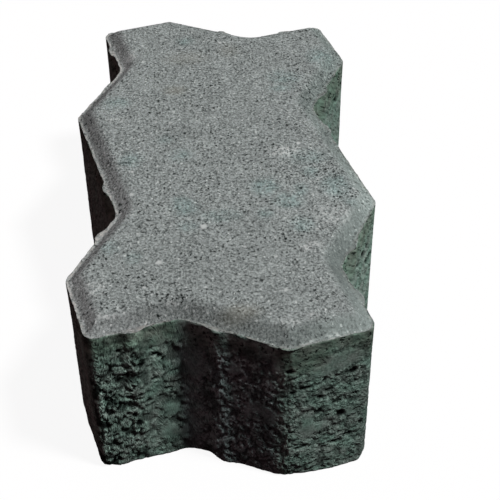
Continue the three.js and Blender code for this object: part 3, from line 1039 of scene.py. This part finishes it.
# %% [markdown]
# ## Pressed concrete
#
# Concrete is crushed stone and sand in grey cement. The pressed face shows fine sand with dark pin
# pores, whitish grains and faint lime bloom. The sides show the coarser core mix, which is
# slightly green, with dark pits. The near black of the pores and pits is painted shade, because
# the bump casts no shadow into them. Nothing on it shines. A picture of concrete would be quick,
# but it would repeat, so the pattern is made from noise and cell textures whose sizes are real
# millimetres in Object coordinates.

# %% The tree's coordinates and the numbers of the mesh
concrete = bpy.data.materials.new("pressed_concrete")
tree = empty_tree(concrete)
where = place(tree, "TexCoord", {})
in_mm = place(tree, "VectorMath", {0: where.outputs["Object"], "Scale": 1 / MM},
              operation="SCALE")
axis = place(tree, "SeparateXYZ", {"Vector": in_mm})
mark = {name: place(tree, "Attribute", {}, attribute_name=name).outputs["Fac"]
        for name in numbers}
print("numbers read from the mesh:", ", ".join(mark))

# %% [markdown]
# The face mix. Its sand is about half a millimetre, finer than the picture can show, so it is
# drawn at nearly twice that, as noise spread out from dark to light. It is a little longer along
# Y, the way the feed box spread it. Pin pores are where a grain has fallen out. A cell texture
# puts one in each cell, seen in plan, and the cell's own colour is its die: it decides how wide
# the pore is and which cells have none.

# %% The sand of the face mix, and sizes of its pores and whitish grains
SAND, SPREAD = 0.9, 0.9  # size, and what Y counts
SAND_RANGE = (0.3, 0.68)  # noise of the darkest and the lightest sand
PLAIN_SAND = 0.53  # the tone of sand without any contrast, from 0 to 1
PORES = (1.9, 0.15, 0.42, 0.45)  # spacing, least and greatest radius, and the die that has none
WIDE_PORES = (4.2, 0.3, 0.58, 0.35)
GRAINS = (2.6, 0.15, 0.4, 0.6)
DOT_RIM = 0.1  # width over which a dot fades, either side of its radius
WOBBLE = 2.4  # how far the sand's noise moves a dot's edge at most
GRIT_PATCH, GRIT_RANGE = 14.0, (0.38, 0.62)  # patches in which pores are more or less frequent
LEAST_PORES = 0.3  # share of the pores that is left in the least gritty patches
FACE_SHADE, FACE_LIGHT = "#4c5250", "#b9c1bf"
# The near black of the pores and the face's pits is painted shade, the shadow that falls into them.
PORE_SHADE, PALE_GRAIN = "#2b302e", "#d0d6d4"


def patches(vector, size, ends, results=(0, 1), detail=2, roughness=0.5, twist=0, curve="LINEAR"):
    """Noise in patches of that size, and a tone made from it: the two ends of the noise become
    the two results, with this curve between them. A twist bends the patches."""
    noise = place(tree, "TexNoise", {"Vector": vector, "Scale": 1 / size, "Detail": detail,
                                     "Roughness": roughness, "Distortion": twist})
    return noise, place(tree, "MapRange", {"Value": noise, "From Min": ends[0],
                                           "From Max": ends[1], "To Min": results[0],
                                           "To Max": results[1]}, interpolation_type=curve)


spread = place(tree, "VectorMath", {0: in_mm, 1: (1, SPREAD, 1)}, operation="MULTIPLY")
sand, sand_tone = patches(spread, SAND, SAND_RANGE, detail=3, roughness=0.7)
sand_tone = place(tree, "Mix", {"Factor": mark["gritty"], "A": PLAIN_SAND, "B": sand_tone},
                  clamp_factor=False)
sand_colour = place(tree, "Mix", {"Factor": sand_tone, "A": FACE_SHADE, "B": FACE_LIGHT},
                    data_type="RGBA")
wobble = place(tree, "VectorMath", {0: sand.outputs["Color"], "Scale": WOBBLE},
               operation="SCALE")
wobbled = place(tree, "VectorMath", {0: in_mm, 1: wobble}, operation="ADD")
_, grit_share = patches(in_mm, GRIT_PATCH, GRIT_RANGE, results=(LEAST_PORES, 1))
print("sand", SAND, "mm, in a face of", FACE_SHADE, "to", FACE_LIGHT)


# %% Pores and grains as round dots
def dots(spacing, least, greatest, none_below):
    """1 inside round dots seen in plan, one to a cell of that spacing. A cell whose own die is
    under none_below has no dot, and the higher the die, the wider the dot."""
    cell = place(tree, "TexVoronoi", {"Vector": wobbled, "Scale": 1 / spacing},
                 voronoi_dimensions="2D")
    die = place(tree, "SeparateColor", {"Color": cell.outputs["Color"]})
    radius = place(tree, "MapRange", {"Value": die, "From Min": none_below, "From Max": 1,
                                      "To Min": least / spacing, "To Max": greatest / spacing})
    deep = place(tree, "Math", {0: radius, 1: cell.outputs["Distance"]}, operation="SUBTRACT")
    dot = place(tree, "MapRange", {"Value": deep, "From Min": -DOT_RIM / spacing,
                                   "From Max": DOT_RIM / spacing},
                interpolation_type="SMOOTHSTEP")
    chosen = place(tree, "Math", {0: die, 1: none_below}, operation="GREATER_THAN")
    return place(tree, "Math", {0: dot, 1: chosen}, operation="MULTIPLY")


any_pore = place(tree, "Math", {0: dots(*PORES), 1: dots(*WIDE_PORES)}, operation="MAXIMUM")
pore_share = place(tree, "Math", {0: mark["gritty"], 1: grit_share}, operation="MULTIPLY",
                   use_clamp=True)
pin_pores = place(tree, "Math", {0: any_pore, 1: pore_share}, operation="MULTIPLY")
pale_grains = dots(*GRAINS)
print("pin pores up to", 2 * WIDE_PORES[2], "mm wide")

# %% [markdown]
# A few grains and pits are large enough to be told apart, so they are placed one by one, each as
# the places nearer to its middle than its radius. A little noise keeps them from being
# perfectly round.

# %% Large grains and pits of the wearing face: x, y and radius in millimetres
WHITE_GRAINS = [(-9.1, -52.5, 1.5), (-27.2, -73.7, 1.3), (-33.2, -87.5, 0.6), (55.0, -31.9, 0.6),
                (-47.0, -22.6, 0.5), (-38.3, -29.1, 0.9), (6.9, -66.3, 0.5), (18.8, -73.2, 0.5),
                (29.7, -6.9, 0.7), (34.9, 2.5, 0.8), (23.7, -4.9, 0.8), (-38.5, -13.4, 0.8),
                (-54.2, -84.1, 0.6), (-28.0, 23.6, 0.6), (-21.3, 22.3, 0.6), (-35.6, -55.3, 0.5),
                (-34.1, 90.3, 0.7), (-33.6, 75.3, 0.9), (4.0, 90.2, 0.9), (37.0, -57.5, 0.6),
                (31.1, -67.7, 0.8), (-7.6, -100.4, 0.5)]
DARK_PITS = [(22.7, -59.9, 0.6), (29.4, -70.2, 0.8), (12.3, -86.9, 0.7), (30.2, -99.9, 0.7),
             (31.9, -93.9, 0.6), (8.2, -44.4, 0.6), (-43.2, -101.7, 0.7), (33.0, -108.8, 0.6),
             (51.8, -19.4, 0.7), (32.7, -30.0, 0.7), (40.3, 11.3, 0.6), (53.7, -10.9, 0.7),
             (-33.4, 9.2, 0.6), (34.8, -21.7, 0.6), (33.0, -69.1, 0.6), (-28.4, -52.0, 0.6),
             (-40.6, -98.0, 0.7), (43.4, -97.5, 0.6), (-40.0, -87.4, 0.6), (41.5, -19.4, 0.6),
             (29.8, -20.6, 0.6), (-21.2, -85.9, 0.6), (-32.4, -91.9, 0.6)]
GRAIN_RIM, PIT_EDGE = 0.4, 0.2  # width over which a spot fades, either side of its radius
SPOT_SHOWS = 0.85  # share of a spot's own colour
FACE_DEPTH = 0.2  # the face's relief lies about this far below the stone's height


def spots(places, rim):
    """SPOT_SHOWS inside any of these round places of the wearing face, and 0 outside, fading
    across the rim. The noise moves all places by half of the wobble on average, so the middles
    are moved by as much."""
    share = 0.0
    for x, y, radius in places:
        middle = [part + WOBBLE / 2 for part in (x, y, HEIGHT - FACE_DEPTH)]
        gap = place(tree, "VectorMath", {0: wobbled, 1: middle}, operation="DISTANCE")
        spot = place(tree, "MapRange", {"Value": gap, "From Min": radius + rim,
                                        "From Max": radius - rim, "To Max": SPOT_SHOWS})
        share = place(tree, "Math", {0: spot, 1: share}, operation="MAXIMUM")
    return share


all_pores = place(tree, "Math", {0: pin_pores, 1: spots(DARK_PITS, PIT_EDGE)},
                  operation="MAXIMUM")
white_grains = spots(WHITE_GRAINS, GRAIN_RIM)
print(len(WHITE_GRAINS), "white grains and", len(DARK_PITS), "dark pits placed by hand")

# %% [markdown]
# Changes of colour. Damp, lime and dirt tint the face in patches one to three centimetres wide.
# They are given one by one, and noise makes the damp ones' rims ragged. Lime bloom is a whitish
# film that lies in flecks between the grains. The ledge shows pale broken crumbs. The bevel was
# pressed by the rim of the plate and is darker, and greener on the right than on the left; this
# is partly painted light: darker and greener where it faces the key lamp, lighter and more
# violet, like the fill, where it faces away.

# %% Patches, bloom, stains, the bevel and the ledge
RAG, RAG_RANGE, RAG_GAIN = 4.0, (0.35, 0.65), (0.4, 1.3)  # lobes on the rims of cool patches
FLECK, FLECK_RANGE = 1.7, (0.44, 0.62)  # flecks of the lime bloom
# The ledge's crumbs come from both noises: the two ends, and the least share that shows
FLECK_CRUMBS, RAG_CRUMBS = (0.42, 0.58, 0.2), (0.4, 0.55, 0.15)
STAIN_SHOWS = 0.5
GREENER = (-40, 30)  # ramp in x on which the bevel turns greener
PLAIN_TINT, COOL_TINT = "#edf0ef", "#dff1ef"
BLOOM, STAIN, LEDGE = "#d0d5d3", "#85806f", "#b8b9b4"
# The bevel's tints are partly painted light: greener and darker on the right, where it faces the
# key lamp, and lighter and more violet on the left, in the fill.
BEVEL_LEFT, BEVEL_RIGHT = "#f2eff0", "#eaefed"

rag, rag_gain = patches(in_mm, RAG, RAG_RANGE, RAG_GAIN)
cool_share = place(tree, "Math", {0: mark["cool"], 1: rag_gain}, operation="MULTIPLY",
                   use_clamp=True)
tint = place(tree, "Mix", {"Factor": cool_share, "A": PLAIN_TINT, "B": COOL_TINT},
             data_type="RGBA")
fleck, fleck_tone = patches(spread, FLECK, FLECK_RANGE, roughness=0.6, curve="SMOOTHSTEP")
bloom_share = place(tree, "Math", {0: mark["lime_bloom"], 1: fleck_tone}, operation="MULTIPLY",
                    use_clamp=True)
white_share = place(tree, "Math", {0: bloom_share, 1: white_grains}, operation="MAXIMUM")
stain_share = place(tree, "Math", {0: mark["stain"], 1: STAIN_SHOWS}, operation="MULTIPLY")
crumbled, broken = (
    place(tree, "MapRange", {"Value": noise, "From Min": low, "From Max": high, "To Min": least})
    for noise, (low, high, least) in ((fleck, FLECK_CRUMBS), (rag, RAG_CRUMBS)))
crumbs = place(tree, "Math", {0: crumbled, 1: broken}, operation="MULTIPLY")
ledge_share = place(tree, "Math", {0: mark["ledge"], 1: crumbs}, operation="MULTIPLY")

# The pores and pits take painted shade; grains, bloom, stains and crumbs are the face's own
# colours.
face_colour = sand_colour
for share, colour in ((pale_grains, PALE_GRAIN), (all_pores, PORE_SHADE), (white_share, BLOOM),
                      (stain_share, STAIN), (ledge_share, LEDGE)):
    face_colour = place(tree, "Mix", {"Factor": share, "A": face_colour, "B": colour},
                        data_type="RGBA")
rightness = place(tree, "MapRange", {"Value": axis.outputs["X"], "From Min": GREENER[0],
                                     "From Max": GREENER[1]})
bevel_light_and_tint = place(tree, "Mix", {"Factor": rightness, "A": BEVEL_LEFT, "B": BEVEL_RIGHT},
                   data_type="RGBA")
face_colour = place(tree, "Mix", {"Factor": mark["bevel"], "A": face_colour, "B": bevel_light_and_tint},
                    data_type="RGBA", blend_type="MULTIPLY")
print("flecks about", FLECK, "mm")

# %% [markdown]
# The core mix. Crushed stone of 1 to 4 mm is coated with cement paste, so its colour changes
# little from grain to grain. What the eye sees are dark pits between the lumps. The mesh has the
# wide ones, and the narrow ones are drawn here. Both are coloured near black, as painted shade
# that stands for the shadow in them. Left of the near peak they are taller than they are wide,
# right of it flatter, and on the dragged sides they are drawn out along the slant.

# %% Crumb and narrow pits of the core mix
CRUMB, CRUMB_RANGE = 0.95, (0.32, 0.68)
PLAIN_CRUMB = 0.5  # the tone of crumb without any contrast
NARROW_PIT, NARROW_RANGE, NARROW_TWIST = 1.5, (0.41, 0.32), 0.5  # a pit is where noise is low
SMALL_GRAIN = 1.7  # of the stones that only the bump shows
DRAWN_OUT = 0.42  # what X and Y count on the dragged sides
CRUMB_GAIN, LEAST_GAIN = 0.6, 0.65  # contrast that an open texture adds, and that of a closed one
PUSH = 0.8  # how far the crumb's noise moves the small grains at most
# The near black of the pits is painted shade, the shadow that falls into them.
CORE_SHADE, CORE_LIGHT, CORE_PIT_SHADE = "#5f706a", "#a6bbb4", "#141716"

flatness = place(tree, "CombineXYZ", {"X": 1, "Y": 1, "Z": mark["squash"]})
flattened = place(tree, "VectorMath", {0: in_mm, 1: flatness}, operation="MULTIPLY")
lift = place(tree, "Math", {0: axis.outputs["Y"], 1: SLANT, 2: axis.outputs["Z"]},
             operation="MULTIPLY_ADD")
on_slant = place(tree, "CombineXYZ", {"X": axis.outputs["X"], "Y": axis.outputs["Y"], "Z": lift})
stretched = place(tree, "VectorMath", {0: on_slant, 1: (DRAWN_OUT, DRAWN_OUT, 1)},
                  operation="MULTIPLY")
shaped = place(tree, "Mix", {"Factor": mark["dragged"], "A": flattened, "B": stretched},
               data_type="VECTOR")
crumb, crumb_tone = patches(shaped, CRUMB, CRUMB_RANGE, detail=1, roughness=0.6)
crumb_gain = place(tree, "Math", {0: mark["open_texture"], 1: CRUMB_GAIN, 2: LEAST_GAIN},
                   operation="MULTIPLY_ADD")
core_tone = place(tree, "Mix", {"Factor": crumb_gain, "A": PLAIN_CRUMB, "B": crumb_tone},
                  clamp_factor=False)
core_colour = place(tree, "Mix", {"Factor": core_tone, "A": CORE_SHADE, "B": CORE_LIGHT},
                    data_type="RGBA")
_, narrow = patches(shaped, NARROW_PIT, NARROW_RANGE, detail=1, twist=NARROW_TWIST,
                    curve="SMOOTHSTEP")
narrow_pits = place(tree, "Math", {0: narrow, 1: mark["pinholes"]}, operation="MULTIPLY")
shaded_pits = place(tree, "Math", {0: narrow_pits, 1: mark["pit"]}, operation="MAXIMUM")
pushed = place(tree, "VectorMath", {0: crumb.outputs["Color"], "Scale": PUSH},
               operation="SCALE")
wandering = place(tree, "VectorMath", {0: shaped, 1: pushed}, operation="ADD")
small_grains = place(tree, "TexVoronoi", {"Vector": wandering, "Scale": 1 / SMALL_GRAIN})
grain_backs = place(tree, "Math", {0: small_grains, 1: 2}, operation="POWER")
print("crumb", CRUMB, "mm and narrow pits", NARROW_PIT, "mm")

# %% [markdown]
# The sides' colours. As the stone slid up along the mould, the cement of the dragged sides
# and of the fine band was smeared into blots that lie on a slant. The fine band is a little
# browner and darker. The stretch of the near side that faces away from the key lamp is painted
# less green: that is painted light, the violet of the fill in its shade. Slow noise turns the
# cement a little pinkish or greenish, and each lump is a little lighter or darker than the next.

# %% Smeared blots, tints and lumps
BLOT, BLOT_RANGE = 2.0, (0.35, 0.65)  # size across the slant, and noise of the two colours
BLOT_SHOWS = 0.6
BLOT_SHADE, BLOT_LIGHT = "#5c6e67", "#b0c8bf"
# The grey tint of the shaded stretch of the near side is painted light: the violet of the fill.
CORE_TINT, FINE_TINT, SHADE_TINT = "#ffffff", "#eae8e2", "#faf2ff"
HUE, HUE_RANGE = 7.0, (0.35, 0.65)
PINKISH, GREENISH = "#fdf5f3", "#f0fff6"
LUMP_DARK, LUMP_LIGHT = 0.82, 1.18

_, blot_tone = patches(stretched, BLOT, BLOT_RANGE)
blot_colour = place(tree, "Mix", {"Factor": blot_tone, "A": BLOT_SHADE, "B": BLOT_LIGHT},
                    data_type="RGBA")
blotted = place(tree, "Math", {0: mark["dragged"], 1: mark["fine"]}, operation="MAXIMUM")
blot_share = place(tree, "Math", {0: blotted, 1: BLOT_SHOWS}, operation="MULTIPLY")
core_colour = place(tree, "Mix", {"Factor": blot_share, "A": core_colour, "B": blot_colour},
                    data_type="RGBA")
fine_tint = place(tree, "Mix", {"Factor": mark["fine"], "A": CORE_TINT, "B": FINE_TINT},
                  data_type="RGBA")
_, hue_share = patches(in_mm, HUE, HUE_RANGE, detail=3)
hue_tint = place(tree, "Mix", {"Factor": hue_share, "A": PINKISH, "B": GREENISH},
                 data_type="RGBA")
for share, colour in ((1.0, fine_tint), (mark["shaded_stretch"], SHADE_TINT), (1.0, hue_tint)):
    core_colour = place(tree, "Mix", {"Factor": share, "A": core_colour, "B": colour},
                        data_type="RGBA", blend_type="MULTIPLY")
lump_gain = place(tree, "MapRange", {"Value": mark["lump_tone"], "From Min": -0.5,
                                     "From Max": 0.5, "To Min": LUMP_DARK,
                                     "To Max": LUMP_LIGHT})
core_colour = place(tree, "VectorMath", {0: core_colour, "Scale": lump_gain}, operation="SCALE")
# Painted shade: the pits are darkened to near black, as the bump casts no shadow into them.
core_colour = place(tree, "Mix", {"Factor": shaded_pits, "A": core_colour, "B": CORE_PIT_SHADE},
                    data_type="RGBA")
print("blots", BLOT, "mm across, hues over", HUE, "mm")

# %% [markdown]
# The whole stone. The mesh's number for the mix chooses between the two colours. The tint, cool
# in the damp patches, goes over both. The brightness is slow cloudy noise plus the tones that
# were given one by one.

# %% Colour of the whole stone
CLOUD, CLOUD_GAIN = 11.0, 0.35  # size of the clouds, and how much their brightness varies

both = place(tree, "Mix", {"Factor": mark["side"], "A": face_colour, "B": core_colour},
             data_type="RGBA")
tinted = place(tree, "Mix", {"Factor": 1.0, "A": both, "B": tint}, data_type="RGBA",
               blend_type="MULTIPLY")
cloud = place(tree, "TexNoise", {"Vector": in_mm, "Scale": 1 / CLOUD, "Detail": 2})
clouded = place(tree, "Math", {0: cloud, 1: CLOUD_GAIN, 2: 1 - CLOUD_GAIN / 2},
                operation="MULTIPLY_ADD")
# On the near side and the bevel the tones are partly painted light and shade.
brightness = place(tree, "Math", {0: mark["tone"], 1: clouded}, operation="ADD")
stone_colour = place(tree, "VectorMath", {0: tinted, "Scale": brightness}, operation="SCALE")
print("clouds about", CLOUD, "mm wide")

# %% [markdown]
# Bump. A Bump node tilts the light on a surface as if it had this height. Here heights are in
# millimetres and the node's distance is one millimetre, so they mean what they say.

# %% Heights in millimetres, and the shader
SAND_HEIGHT, PORE_DEPTH = 0.5, 0.45
CRUMB_HEIGHT, CLOSED_CRUMB = 0.65, 0.2  # and the share of it that a closed texture keeps
NARROW_DEPTH, GRAIN_HEIGHT = 0.35, 0.4
DULLNESS = 0.94

sand_relief = place(tree, "Math", {0: mark["gritty"], 1: SAND_HEIGHT}, operation="MULTIPLY")
sand_height = place(tree, "Math", {0: sand, 1: sand_relief}, operation="MULTIPLY")
pore_depth = place(tree, "Math", {0: all_pores, 1: PORE_DEPTH}, operation="MULTIPLY")
face_height = place(tree, "Math", {0: sand_height, 1: pore_depth}, operation="SUBTRACT")
crumb_relief = place(tree, "MapRange", {"Value": mark["open_texture"],
                                        "To Min": CLOSED_CRUMB * CRUMB_HEIGHT,
                                        "To Max": CRUMB_HEIGHT}, clamp=False)
crumb_height = place(tree, "Math", {0: crumb, 1: crumb_relief}, operation="MULTIPLY")
narrow_depth = place(tree, "Math", {0: narrow_pits, 1: NARROW_DEPTH}, operation="MULTIPLY")
grain_slope = place(tree, "Math", {0: grain_backs, 1: mark["open_texture"]},
                    operation="MULTIPLY")
grain_depth = place(tree, "Math", {0: grain_slope, 1: GRAIN_HEIGHT}, operation="MULTIPLY")
lumpy_height = place(tree, "Math", {0: crumb_height, 1: grain_depth}, operation="SUBTRACT")
core_height = place(tree, "Math", {0: lumpy_height, 1: narrow_depth}, operation="SUBTRACT")
height = place(tree, "Mix", {"Factor": mark["side"], "A": face_height, "B": core_height})
bump = place(tree, "Bump", {"Height": height, "Strength": 1, "Distance": MM})
shader = place(tree, "BsdfPrincipled", {"Base Color": stone_colour, "Normal": bump,
                                        "Roughness": DULLNESS, "Specular IOR Level": 0})
place(tree, "OutputMaterial", {"Surface": shader})
print("nodes in pressed_concrete:", len(tree.nodes))

# %% [markdown]
# ## The finished stone
#
# The mesh becomes an object at the origin, takes the place of the imported node and moves with its
# body.

# %% The stone takes its place
stone_mesh.materials.append(concrete)
stone = bpy.data.objects.new("pressed_paving_stone", stone_mesh)
scene.collection.objects.link(stone)
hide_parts("paving_stone")
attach(stone, "root")
print(stone.name, "stands in for the packed node, with", len(stone_mesh.polygons), "faces")

# %% The scene's view
scene.view_settings.view_transform = "Standard"
